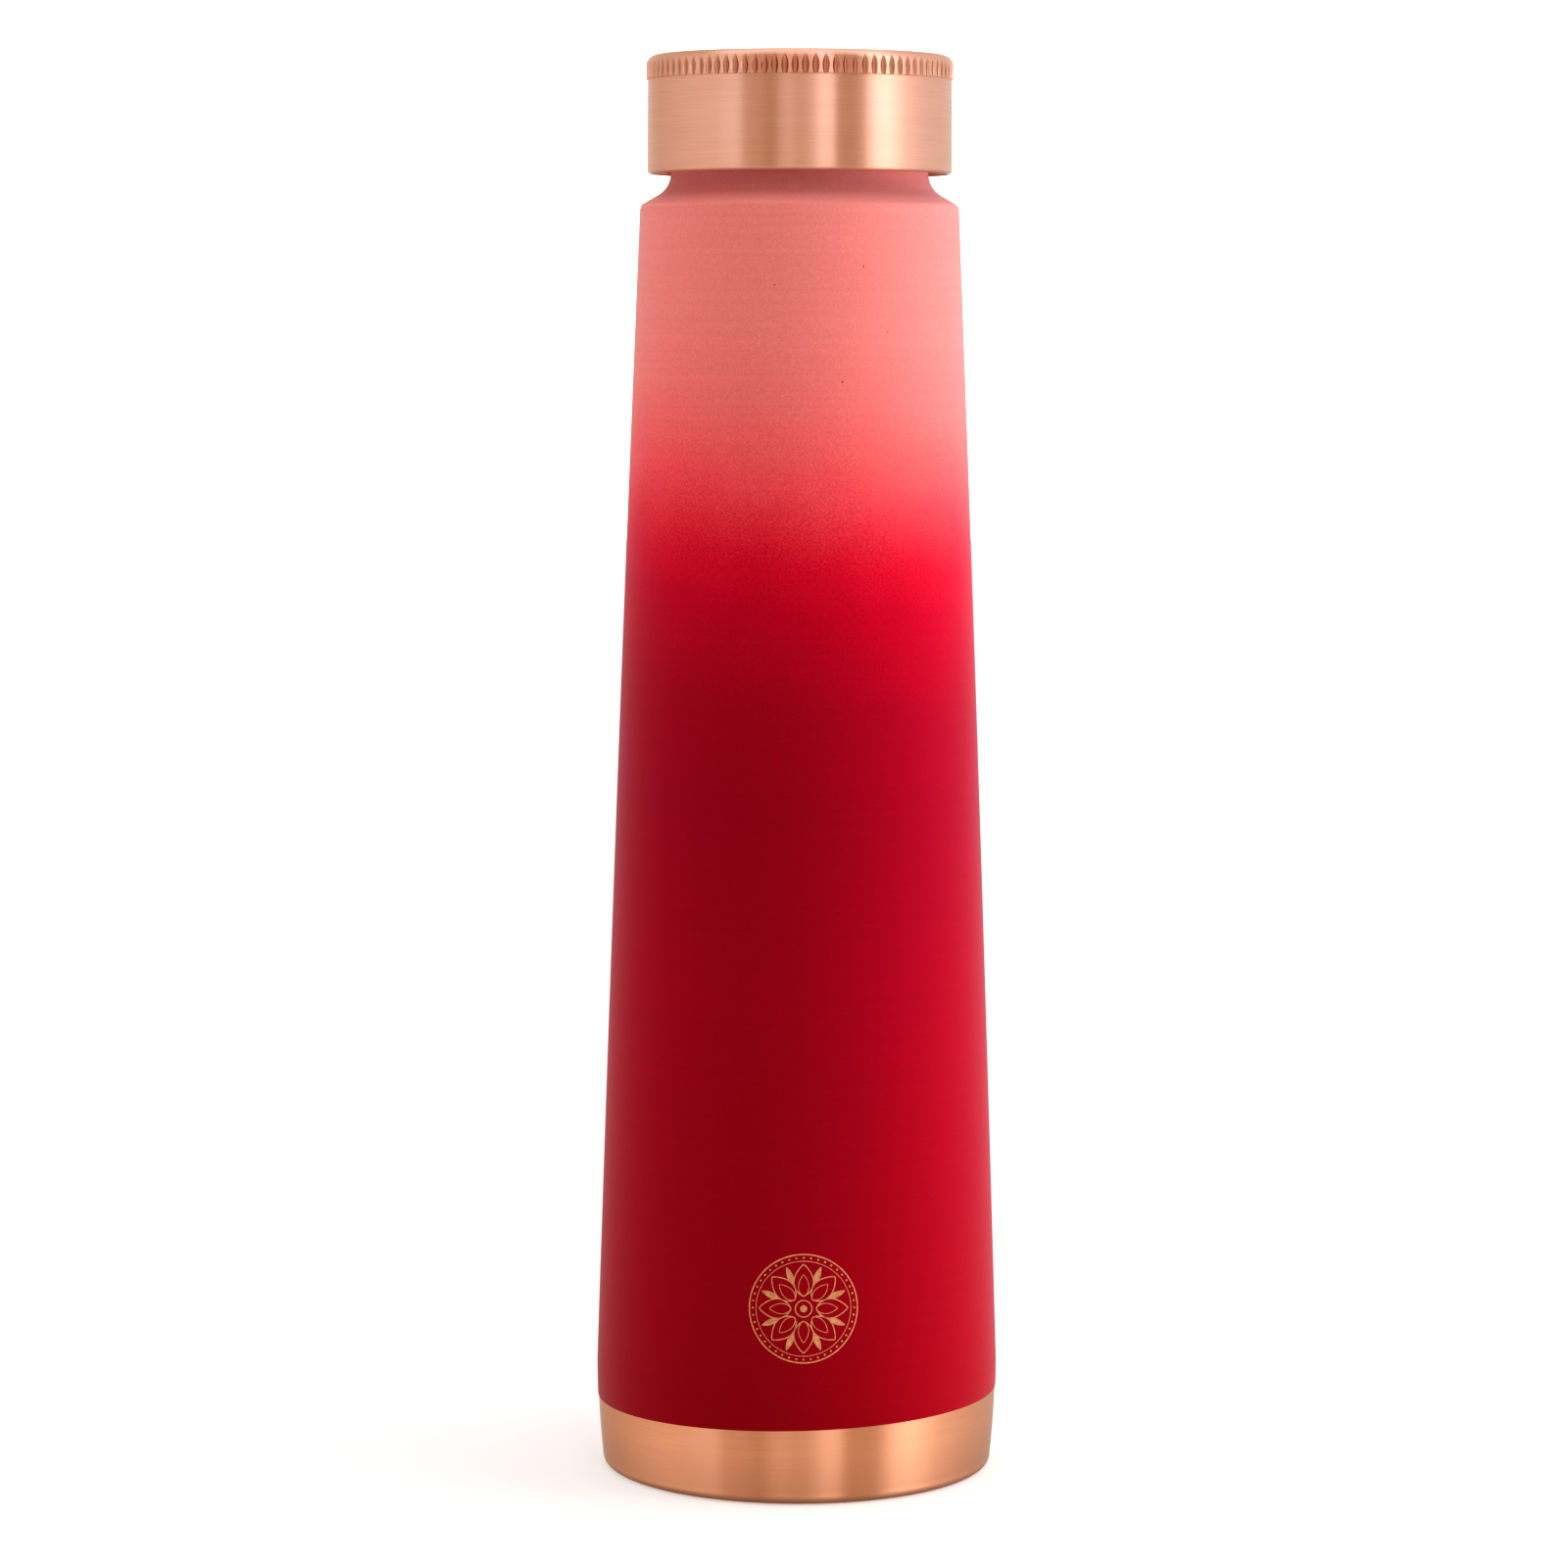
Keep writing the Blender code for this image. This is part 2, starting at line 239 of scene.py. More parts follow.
def turned(name, section, steps=ROUND_STEPS, closed=True, shift=None):
    """The section turned once about Z. shift(radii, heights, angles) may move the points of the grid."""
    radii = np.repeat(np.array([p[0] for p in section])[:, None], steps, axis=1)
    heights = np.repeat(np.array([p[1] for p in section])[:, None], steps, axis=1)
    angles = np.repeat(np.arange(steps)[None, :] * tau / steps, len(section), axis=0)
    if shift:
        radii, heights, angles = shift(radii, heights, angles)
    points = np.stack([radii * np.cos(angles), radii * np.sin(angles), heights], axis=-1).reshape(-1, 3)
    rows = len(section)
    faces = []
    for row in range(rows if closed else rows - 1):
        upper = row * steps
        lower = (row + 1) % rows * steps
        for i in range(steps):
            j = (i + 1) % steps
            faces.append((upper + i, lower + i, lower + j, upper + j))
    return cleaned_mesh(name, points.tolist(), faces)


# Materials


class Nodes:
    """A node tree, with short calls for the nodes that the finishes and the light here share."""

    def __init__(self, owner):
        owner.use_nodes = True
        self.tree = owner.node_tree

    def add(self, kind, inputs=None, **settings):
        """A node with its settings. An input is a value, or another node's socket to link."""
        node = self.tree.nodes.new(kind)
        for key, value in settings.items():
            setattr(node, key, value)
        for key, value in (inputs or {}).items():
            self.feed(node.inputs[key], value)
        return node

    def feed(self, socket, value):
        if isinstance(value, bpy.types.NodeSocket):
            self.tree.links.new(value, socket)
        else:
            socket.default_value = value

    def spread(self, value, low, high, to_low, to_high):
        inputs = {"Value": value, "From Min": low, "From Max": high, "To Min": to_low, "To Max": to_high}
        return self.add("ShaderNodeMapRange", inputs).outputs["Result"]

    def swing(self, noise, to_low, to_high):
        """Noise, which seldom leaves 0.3 to 0.7, spread from one value to another."""
        return self.spread(noise, 0.3, 0.7, to_low, to_high)

    def maths(self, operation, first, second=0.0):
        return self.add("ShaderNodeMath", {0: first, 1: second}, operation=operation).outputs["Value"]

    def blend(self, share, first, second, kind="MIX"):
        """Two colours mixed. A Mix node takes its colours at sockets 6 and 7."""
        colours = [c if isinstance(c, bpy.types.NodeSocket) else (*c, 1) for c in (first, second)]
        inputs = {0: share, 6: colours[0], 7: colours[1]}
        return self.add("ShaderNodeMix", inputs, data_type="RGBA", blend_type=kind).outputs[2]

    def ramp(self, value, stops):
        """Colours at shares of the way from 0 to 1."""
        node = self.add("ShaderNodeValToRGB", {"Fac": value})
        elements = node.color_ramp.elements
        for _ in stops[2:]:
            elements.new(0.5)
        for element, (position, colour) in zip(elements, stops):
            element.position = position
            element.color = (*colour, 1)
        return node.outputs["Color"]


class Finish(Nodes):
    """A material round its Principled shader."""

    def __init__(self, name):
        self.material = bpy.data.materials.new(name)
        super().__init__(self.material)
        self.shader = self.tree.nodes["Principled BSDF"]

    def place(self):
        """The point's place on the object, in metres."""
        return self.add("ShaderNodeTexCoord").outputs["Object"]

    def stretched(self, scale):
        """The place scaled along each axis, so a noise of scale 1 has that many waves a metre there."""
        return self.add("ShaderNodeMapping", {"Vector": self.place(), "Scale": scale}).outputs["Vector"]

    def noise(self, vector, scale, detail=2.0, roughness=0.5):
        inputs = {"Vector": vector, "Scale": scale, "Detail": detail, "Roughness": roughness}
        return self.add("ShaderNodeTexNoise", inputs).outputs["Fac"]

    def shaded(self, colour, shade):
        """The colour multiplied by a shade near 1."""
        grey = self.add("ShaderNodeCombineColor", {"Red": shade, "Green": shade, "Blue": shade})
        return self.blend(1.0, colour, grey.outputs["Color"], "MULTIPLY")

    def bump(self, height, distance, strength=1.0):
        inputs = {"Height": height, "Distance": distance, "Strength": strength}
        return self.add("ShaderNodeBump", inputs).outputs["Normal"]

    def set(self, **values):
        """Sets or links the shader's sockets. A name's underscores stand for spaces."""
        for key, value in values.items():
            self.feed(self.shader.inputs[key.replace("_", " ")], value)


# Paint colours up the wall, as (height in metres, colour)
PAINT_STOPS = (
    (0.010, (0.38, 0.0005, 0.021)),
    (0.045, (0.41, 0.0005, 0.027)),
    (0.100, (0.43, 0.0005, 0.037)),
    (0.137, (0.42, 0.0005, 0.041)),
    (0.156, (0.45, 0.0005, 0.043)),
    (0.168, (0.54, 0.0010, 0.048)),
    (0.176, (0.60, 0.0015, 0.054)),
    (0.184, (0.71, 0.0150, 0.070)),
    (0.191, (0.80, 0.0700, 0.115)),
    (0.199, (0.89, 0.1520, 0.182)),
    (0.207, (0.91, 0.2240, 0.232)),
    (0.215, (0.91, 0.2850, 0.288)),
    (0.229, (0.91, 0.3350, 0.328)),
    (0.252, (0.91, 0.3600, 0.350)),
    (0.256, (0.87, 0.3850, 0.385)),
)

FADE_SAG = 0.10  # the fade comes this much lower at the front, as a share of the radius
FADE_LEAN = 0.10  # and this much lower on the right
GRAIN = 2600  # waves a metre
CLOUD = 90
RUBBED = (24, 24, 1300)  # waves a metre, along each axis
SPECK_CELLS = 230  # a metre
SPECK_CHANCE = 0.28
SPECK_COLOUR = (0.16, 0.01, 0.02)


def powder_coat():
    """Matt sprayed paint, deep red fading to dusty pink at the top, with grain and a few dark specks."""
    n = Finish("powder_coat")
    grain = n.noise(n.place(), GRAIN, detail=3, roughness=0.6)
    cloud = n.noise(n.place(), CLOUD, detail=3)
    place = n.add("ShaderNodeSeparateXYZ", {"Vector": n.place()}).outputs
    sagged = n.maths("ADD", place["Z"], n.maths("MULTIPLY", place["Y"], -FADE_SAG))
    height = n.maths("ADD", sagged, n.maths("MULTIPLY", place["X"], FADE_LEAN))
    drift = n.maths("ADD", n.swing(grain, -0.0028, 0.0028), n.swing(cloud, -0.001, 0.001))
    low, high = PAINT_STOPS[0][0], PAINT_STOPS[-1][0]
    share = n.spread(n.maths("ADD", height, drift), low, high, 0, 1)
    colour = n.ramp(share, [((z - low) / (high - low), c) for z, c in PAINT_STOPS])
    rubbed = n.swing(n.noise(n.stretched(RUBBED), 1, detail=2), -0.02, 0.02)
    colour = n.shaded(colour, n.maths("ADD", n.swing(grain, 0.94, 1.06), rubbed))
    cell = n.add("ShaderNodeTexVoronoi", {"Vector": n.place(), "Scale": SPECK_CELLS})
    chance = n.add("ShaderNodeSeparateColor", {"Color": cell.outputs["Color"]}).outputs["Red"]
    chosen = n.maths("GREATER_THAN", chance, 1 - SPECK_CHANCE)
    dot = n.spread(cell.outputs["Distance"], 0.035, 0.06, 0.5, 0)
    colour = n.blend(n.maths("MULTIPLY", dot, chosen), colour, SPECK_COLOUR)
    n.set(
        Base_Color=colour,
        Roughness=n.swing(grain, 0.50, 0.60),
        Specular_IOR_Level=0.1,
        Sheen_Weight=0.42,
        Sheen_Roughness=0.42,
        Sheen_Tint=(1.0, 0.88, 0.88, 1.0),
        Normal=n.bump(n.maths("ADD", grain, n.noise(n.place(), 700)), 0.00003, 0.5),
    )
    return n.material


FINE_SCRATCHES = (60, 60, 7000)  # waves a metre, along each axis
BROAD_SCRATCHES = (14, 14, 1500)
FINE_SHARE = 0.85
TURNING_LINES = (80, 80, 3000)
GROOVE_SHADE = (0.72, 0.64, 0.60)  # painted shade in the grooves, as shares of the polished copper's colour
WARM = (0.98, 0.94, 0.90)  # where the polish has mellowed
DULL = (0.80, 0.68, 0.60)  # copper that isn't polished
FOOT_SHADE_LOW, FOOT_SHADE_HIGH = 0.002, 0.010  # painted shade darkens the foot, less and less between these heights


def tinted(tint, shares):
    return tuple(c * share for c, share in zip(tint, shares))


def brushed_copper(name, tint, foot_shade=1.0):
    """Copper brushed round the axis: fine level scratches that spread every reflection up and down.

    Painted shade darkens its lowest millimetres, down to a given share of the tint at the foot.
    """
    n = Finish(name)
    fine = n.noise(n.stretched(FINE_SCRATCHES), 1, detail=2, roughness=0.6)
    broad = n.noise(n.stretched(BROAD_SCRATCHES), 1, detail=2)
    broad_part = n.maths("MULTIPLY", broad, 1 - FINE_SHARE)
    lines = n.maths("ADD", n.maths("MULTIPLY", fine, FINE_SHARE), broad_part)
    patina = n.noise(n.place(), 55, detail=4)
    colour = n.blend(n.spread(patina, 0.4, 0.7, 0, 0.6), tint, tinted(tint, WARM))
    colour = n.shaded(colour, n.spread(lines, 0.40, 0.60, 0.975, 1.02))
    # Painted shade: the colour darkens towards the foot.
    height = n.add("ShaderNodeSeparateXYZ", {"Vector": n.place()}).outputs["Z"]
    foot_shaded = n.spread(height, FOOT_SHADE_LOW, FOOT_SHADE_HIGH, 1, 0)
    colour = n.blend(foot_shaded, colour, tinted(tint, [foot_shade] * 3))
    # Painted shade in the flutes' grooves, darker the deeper the groove.
    groove = n.add("ShaderNodeAttribute", attribute_name="groove").outputs["Fac"]
    n.set(
        Base_Color=n.blend(n.spread(groove, 0.0, 0.8, 0, 1), colour, tinted(tint, GROOVE_SHADE)),
        Metallic=1.0,
        Roughness=n.spread(lines, 0.35, 0.65, 0.32, 0.28),
        Anisotropic=1.0,
        Anisotropic_Rotation=0.25,
        Tangent=n.add("ShaderNodeTangent", direction_type="RADIAL", axis="Z").outputs["Tangent"],
        Normal=n.bump(lines, 0.000005, 0.5),
    )
    return n.material


def plain_copper(name, tint):
    """Turned copper that isn't polished again: duller, with turning lines and a faint patina."""
    n = Finish(name)
    lines = n.noise(n.stretched(TURNING_LINES), 1, detail=3)
    patina = n.noise(n.place(), 120, detail=5)
    n.set(
        Base_Color=n.blend(n.spread(patina, 0.42, 0.66, 0, 0.8), tint, tinted(tint, DULL)),
        Metallic=1.0,
        Roughness=n.swing(patina, 0.30, 0.46),
        Normal=n.bump(lines, 0.00001, 0.5),
    )
    return n.material


def etched_copper():
    """Bare copper where the emblem was burnt through the paint: satin, with a slight mottling."""
    n = Finish("etched_copper")
    mottle = n.noise(n.place(), 1500, detail=3)
    dark = tinted(ETCHED_COPPER, [0.8] * 3)
    n.set(
        Base_Color=n.blend(n.spread(mottle, 0.35, 0.65, 0, 1), ETCHED_COPPER, dark),
        Metallic=1.0,
        Roughness=n.swing(mottle, 0.42, 0.55),
        Normal=n.bump(mottle, 0.00001, 0.4),
    )
    return n.material


def silicone():
    """Soft translucent white rubber with a faint haze."""
    n = Finish("silicone")
    haze = n.noise(n.place(), 300, detail=3)
    n.set(
        Base_Color=n.blend(n.swing(haze, 0, 1), (0.80, 0.79, 0.76), (0.72, 0.71, 0.68)),
        Roughness=n.swing(haze, 0.42, 0.55),
        Subsurface_Weight=0.3,
        Subsurface_Scale=0.002,
        Normal=n.bump(haze, 0.00002, 0.4),
    )
    return n.material


COPPER = (0.95, 0.59, 0.475)
BASE_COPPER = (0.96, 0.53, 0.36)
ETCHED_COPPER = (0.88, 0.50, 0.31)
paint = powder_coat()
cap_copper = brushed_copper("cap_copper", COPPER)
# The base's foot is darkened by painted shade.
base_copper = brushed_copper("base_copper", BASE_COPPER, foot_shade=0.86)
inner_copper = plain_copper("inner_copper", COPPER)
emblem_copper = etched_copper()
rubber = silicone()


# The bottle's pieces


def tilt_paint_line(radii, heights, angles):
    """Tilts the coat's lower edge, and lets the rows above it settle level again just above the hip."""
    share = np.clip((HEM_TOP - heights) / (HEM_TOP - PAINT_LINE), 0, 1)
    tilt = PAINT_TILT * radii * np.cos(angles)
    moved = heights + share * tilt
    drop = np.array([[wall_radius(z) for z in row] for row in moved])
    level = np.array([[wall_radius(z) for z in row] for row in heights])
    return radii + np.where(share > 0, drop - level, 0), moved, angles


def make_coat():
    """The powder coat, from just inside the cap down the neck, shoulder and wall to its masked edge."""
    shoulder = shoulder_path(COAT_TOP)
    wall = wall_rows(shoulder[-1][1], HEM_TOP, 48)
    hem = wall_rows(HEM_TOP, PAINT_LINE + COAT, 12)
    outer = joined(shoulder, wall, hem)
    section = sheet_section(outer, COAT)
    rounded = (outer[-1][0] - COAT * 0.35, PAINT_LINE)
    section.insert(len(outer), rounded)
    mesh = turned("paint_coat", section, shift=tilt_paint_line)
    new_piece("paint_coat", mesh, paint, "bottle", "wall_paint", "body_wall", "shoulder_neck")


def make_wall():
    """The copper wall under the coat, seen only from inside."""
    inset = COAT + COAT_AIR
    top = SHOULDER_HEIGHT - SHOULDER_EDGE - GAP
    path = wall_rows(top, BAND_TOP + BAND_TO_WALL, 40, inset)
    mesh = turned("wall_sheet", sheet_section(path, SHEET - inset))
    new_piece("wall_sheet", mesh, inner_copper, "bottle", "turned_copper", "body_wall")


def make_shoulder():
    """The copper shoulder, neck and rolled lip, with the lap that goes inside the wall."""
    inset = COAT + COAT_AIR
    curl_centre = (NECK_RADIUS + LIP_CURL, LIP_TOP - LIP_CURL - SHEET)
    curl = arc(curl_centre, LIP_CURL, -35, 180, 14)
    step_top, step_foot = COAT_TOP + 0.0003, COAT_TOP - 0.0004  # where the copper sinks under the coat
    lowered = offset(shoulder_path(step_foot), inset)
    neck = line(curl[-1], (NECK_RADIUS, step_top), 8)
    edge_end = lowered[-1][1]
    lap = wall_rows(edge_end - SHEET, edge_end - LAP, 4, SHEET + GAP)
    path = joined(curl, neck, lowered, lap)
    mesh = turned("neck_sheet", sheet_section(path, SHEET - inset))
    new_piece("neck_sheet", mesh, inner_copper, "bottle", "turned_copper", "shoulder_neck")


def make_base():
    """The bare foot band and bottom. Its upper rim runs on under the coat, then steps in to the lap."""
    lap = wall_rows(BAND_TOP + LAP, BAND_TOP + BAND_TO_WALL, 4, SHEET + GAP)
    band = wall_rows(BAND_TOP, FOOT_CORNER, 16, SEAM_STEP)
    tuck = atan2(HIP_HEIGHT - FOOT_CORNER, HIP_CURVE)
    centre = (band[-1][0] - FOOT_CORNER * cos(tuck), FOOT_CORNER)
    corner = arc(centre, FOOT_CORNER, -degrees(tuck) / 2, -90, 14)
    foot_inner = centre[0] - FOOT_WIDTH
    roll = 0.0008  # radius of the push-up's two soft edges
    lean = 56  # degrees that each of them turns through
    foot = line(corner[-1], (foot_inner, 0), 3)
    down = arc((foot_inner, roll), roll, 270, 270 - lean, 5)
    up_end = (foot_inner - PUSH_UP_SLOPE, PUSH_UP)
    up = arc((up_end[0], PUSH_UP - roll), roll, 90 - lean, 90, 5)
    middle = line(up[-1], (0, PUSH_UP), 12)
    path = joined(lap, band, corner, foot, down, up, middle)
    mesh = turned("foot_cup", sheet_section(path, SHEET))
    new_piece("foot_cup", mesh, base_copper, "bottle", "bare_copper", "base_cup")


class Emblem:
    """Flat shapes laid on the front of the wall as thin closed bodies, just proud of the paint.

    A flat point is (along, up) in metres from the emblem's middle. Along is measured round the wall.
    """

    def __init__(self):
        self.points = []
        self.faces = []

    def wrapped(self, along, up, proud):
        """The place in space of a flat point, this far proud of the wall."""
        height = EMBLEM_HEIGHT + up
        radius = wall_radius(height)
        angle = (EMBLEM_ASIDE + along) / radius - pi / 2
        return ((radius + proud) * cos(angle), (radius + proud) * sin(angle), height)

    def filled(self, outline):
        """A closed outline, filled."""
        base = len(self.points)
        count = len(outline)
        self.points += [self.wrapped(*p, EMBLEM_PROUD) for p in outline]
        self.points += [self.wrapped(*p, -EMBLEM_SUNK) for p in outline]
        self.faces.append(tuple(base + i for i in range(count)))
        self.faces.append(tuple(base + count + i for i in reversed(range(count))))
        for i in range(count):
            j = (i + 1) % count
            self.faces.append((base + j, base + i, base + count + i, base + count + j))

    def ribbon(self, path, width, closed=False):
        """A band of even width along a path, with sloping sides. An open one has square ends."""
        base = len(self.points)
        count = len(path)
        section = ((-0.5, -EMBLEM_SUNK), (-0.42, EMBLEM_PROUD), (0.42, EMBLEM_PROUD), (0.5, -EMBLEM_SUNK))
        for i, (u, v) in enumerate(path):
            before = path[i - 1] if closed or i else path[0]
            after = path[(i + 1) % count] if closed or i < count - 1 else path[-1]
            du, dv = after[0] - before[0], after[1] - before[1]
            length = hypot(du, dv)
            for side, proud in section:
                shift = side * width / length
                self.points.append(self.wrapped(u - dv * shift, v + du * shift, proud))
        for i in range(count if closed else count - 1):
            here = base + 4 * i
            there = base + 4 * ((i + 1) % count)
            for k in range(4):
                m = (k + 1) % 4
                self.faces.append((here + k, there + k, there + m, here + m))
        if not closed:
            end = base + 4 * (count - 1)
            self.faces.append((base + 3, base + 2, base + 1, base))
            self.faces.append((end, end + 1, end + 2, end + 3))


def turned_leaf(angle, inner, outer, half_width, steps=14):
    """The two sides of a pointed leaf that lies along a ray from the emblem's middle."""
    sides = []
    for side in (-1, 1):
        run = []
        for i in range(steps + 1):
            share = i / steps
            along = inner + (outer - inner) * share
            across = side * half_width * sin(pi * share**0.85) ** 0.8
            x = along * cos(angle) - across * sin(angle)
            y = along * sin(angle) + across * cos(angle)
            run.append((x, y))
        sides.append(run)
    return sides


def make_emblem():
    """A plain round rosette: rings, a row of dots, petals, and small leaves between the petals."""
    rings = ((0.0105, 0.00036), (0.0092, 0.0002), (0.0016, 0.0003))  # radius and width
    dots = 44
    dot_ring = 0.00985
    dot_radius = 0.00022
    petals = 8
    petal_root = 0.0024
    petal_outlines = ((0.0086, 0.0019, 0.0003), (0.0066, 0.0010, 0.0002))  # tip, half width, line width
    leaf = (0.0052, 0.0088, 0.0006)  # root, tip, half width
    boss_radius = 0.0007

    emblem = Emblem()
    middle = (0, 0)
    for radius, width in rings:
        emblem.ribbon(arc(middle, radius, 0, 360, 96)[:-1], width, closed=True)
    for centre in arc(middle, dot_ring, 0, 360, dots)[:-1]:
        emblem.filled(arc(centre, dot_radius, 0, 360, 10)[:-1])
    for i in range(petals):
        angle = tau * i / petals + pi / 2
        for tip, half_width, width in petal_outlines:
            for side in turned_leaf(angle, petal_root, tip, half_width):
                emblem.ribbon(side, width)
        left, right = turned_leaf(angle + pi / petals, *leaf)
        emblem.filled(right + left[-2:0:-1])
    emblem.filled(arc(middle, boss_radius, 0, 360, 20)[:-1])
    mesh = cleaned_mesh("rosette", emblem.points, emblem.faces)
    new_piece("rosette", mesh, emblem_copper, "bottle", "bare_copper", "body_wall")


def thread_height(angles, heights, start, start_angle):
    """How far the thread's round bead stands out at each point, as a share of its full height."""
    run_out = 0.125  # the share of a turn over which it rises, and sinks again
    spread = 1.15  # its foot is a little wider than the bead
    roundness = 1.3
    stand = np.zeros_like(heights)
    first_turn = ((angles - start_angle) % tau) / tau
    for turn in range(THREAD_TURNS):
        along = first_turn + turn
        middle = start + THREAD_PITCH * (along + start_angle / tau)
        fade = np.clip(np.minimum(along, THREAD_TURNS - along) / run_out, 0, 1)
        across = np.clip(np.abs(heights - middle) / (THREAD_BEAD * spread), 0, 1)
        stand = np.maximum(stand, fade * np.cos(across * pi / 2) ** roundness)
    return stand


def make_neck_thread():
    """The outside thread, a round bead that winds up the neck ring."""
    low, high = NECK_RING_LOW.z, NECK_RING_HIGH.z
    rows = 110
    outer = line((NECK_RING_RADIUS, high), (NECK_RING_RADIUS, low), rows)
    section = outer + [(NECK_RING_BORE, low), (NECK_RING_BORE, high)]
    reach = THREAD_STAND + THREAD_BEAD

    def raise_thread(radii, heights, angles):
        stand = reach * thread_height(angles, heights, NECK_BEAD_START, 0)
        return radii + np.where(radii > NECK_RING_RADIUS - 1e-6, stand, 0), heights, angles

    mesh = turned("neck_thread", section, THREAD_COLUMNS, shift=raise_thread)
    new_piece("neck_thread", mesh, inner_copper, "bottle", "turned_copper", "neck_thread_ring")


def make_cap_thread():
    """The inside thread, pressed into the cap's own ring."""
    low, high = CAP_RING_LOW.z, CAP_RING_HIGH.z
    rows = 130
    inner = line((CAP_RING_BORE, low), (CAP_RING_BORE, high), rows)
    section = inner + [(CAP_RING_RADIUS, high), (CAP_RING_RADIUS, low)]
    crest = NECK_RING_RADIUS + THREAD_STAND + THREAD_DEPTH - THREAD_BEAD
    reach = CAP_RING_BORE - crest

    def raise_thread(radii, heights, angles):
        start = NECK_BEAD_START - THREAD_PITCH / 2
        stand = reach * thread_height(angles, heights, start, pi / 2)
        return radii - np.where(radii < CAP_RING_BORE + 1e-6, stand, 0), heights, angles

    mesh = turned("cap_thread", section, THREAD_COLUMNS, shift=raise_thread)
    new_piece("cap_thread", mesh, inner_copper, "cap", "turned_copper", "cap_thread_ring")


def flute_half_width(heights):
    """Half a groove's width as a share of the pitch: widest below the middle, and nothing at the tip."""
    belly = 0.42  # the share of the way up where it is widest
    foot_share = 0.62  # a groove's width where it runs out at the band's lower edge
    share = (heights - KNURL_BOTTOM) / (KNURL_HEIGHT + FLUTE_RISE)
    above = np.clip((share - belly) / (1 - belly), 0, 1)
    below = np.clip((belly - share) / belly, 0, 1)
    width = np.where(share > belly, 1 - above**1.9, 1 - (1 - foot_share) * below**2)
    return width * FLUTE_HALF_WIDTH * FLUTES / (tau * KNURL_RADIUS)


def flute_depth(heights, angles):
    """How deep the outside is cut at each point: round across, and shallower where a groove narrows."""
    across = (angles * FLUTES / tau) % 1 - 0.5
    half = flute_half_width(heights)
    widest = FLUTE_HALF_WIDTH * FLUTES / (tau * KNURL_RADIUS)
    depth = FLUTE_DEPTH * half / widest * np.clip(1 - (across / np.maximum(half, 1e-9)) ** 2, 0, 1)
    return np.where(heights > KNURL_BOTTOM, depth, 0)


def cut_flutes(radii, heights, angles):
    """Draws the columns of points in to the grooves' outlines, then sinks the grooves."""
    edge = FLUTE_EDGE_COLUMN / FLUTE_STEPS
    least = 0.02  # keeps the columns apart above the grooves' tips
    half = np.maximum(flute_half_width(heights), least)
    turns = angles * FLUTES / tau
    across = turns % 1 - 0.5
    size = np.abs(across)
    inside = size / edge * half
    beside = half + (size - edge) / (0.5 - edge) * (0.5 - half)
    drawn = np.where(size <= edge + 1e-6, inside, beside) * np.sign(across)
    angles = (turns - across + drawn) * tau / FLUTES
    outside = radii > CAP_RADIUS - CAP_CORNER / 2
    return radii - np.where(outside, flute_depth(heights, angles), 0), heights, angles


def mark_grooves(mesh):
    """Stores each point's share of the full groove depth, for the painted shade in the grooves."""
    points = np.empty(len(mesh.vertices) * 3, np.float32)
    mesh.vertices.foreach_get("co", points)
    x, y, z = points.reshape(-1, 3).T
    outside = np.hypot(x, y) > CAP_BORE + GROOVE_FLOOR
    share = np.where(outside, flute_depth(z, np.arctan2(y, x)) / FLUTE_DEPTH, 0)
    mesh.attributes.new("groove", "FLOAT", "POINT").data.foreach_set("value", share.astype(np.float32))


def make_cap_shell():
    """The cap: flat top, fluted rim band, plain skirt with a rounded hem, and its inside."""
    top_centre = (KNURL_RADIUS - CAP_CORNER, KNURL_TOP)
    top = joined(line((0, CAP_TOP), (top_centre[0], CAP_TOP), 14), arc(top_centre, CAP_CORNER, 90, 0, 20))
    ledge = 0.0001  # radius of the band's lower edge
    band = line((KNURL_RADIUS, KNURL_TOP), (KNURL_RADIUS, KNURL_BOTTOM + ledge), 24)
    step = arc((KNURL_RADIUS - ledge, KNURL_BOTTOM + ledge), ledge, 0, -90, 3)
    skirt_end = CAP_RADIUS + CAP_FLARE
    hem_centre = (skirt_end - CAP_SHEET, CAP_BOTTOM + CAP_SHEET)
    skirt = line((CAP_RADIUS, KNURL_BOTTOM), (skirt_end, hem_centre[1]), 10)
    hem = arc(hem_centre, CAP_SHEET, 0, -100, 8)
    round_in = 0.0004  # radius of the roof's inside corner
    inside = line((CAP_BORE, CAP_BOTTOM + GAP), (CAP_BORE, CAP_ROOF - round_in), 3)
    roof = arc((CAP_BORE - round_in, CAP_ROOF - round_in), round_in, 0, 90, 4)
    path = joined(top, band, step, skirt, hem, inside, roof, line(roof[-1], (0, CAP_ROOF), 4))
    mesh = turned("cap_shell_piece", path, FLUTES * FLUTE_STEPS, closed=False, shift=cut_flutes)
    mark_grooves(mesh)
    new_piece("cap_shell_piece", mesh, cap_copper, "cap", "cap_copper", "cap_shell")


def make_liner():
    """The flat disc behind the seal."""
    edge = 0.0001
    top, bottom = LINER_HIGH.z, LINER_LOW.z
    radius = LINER_HIGH.x
    flat = radius - edge
    upper = joined(line((0, top), (flat, top), 6), arc((flat, top - edge), edge, 90, 0, 3))
    lower = joined(arc((flat, bottom + edge), edge, 0, -90, 3), line((flat, bottom), (0, bottom), 6))
    mesh = turned("liner_disc", joined(upper, lower), closed=False)
    new_piece("liner_disc", mesh, inner_copper, "cap", "turned_copper", "cap_liner_disc")


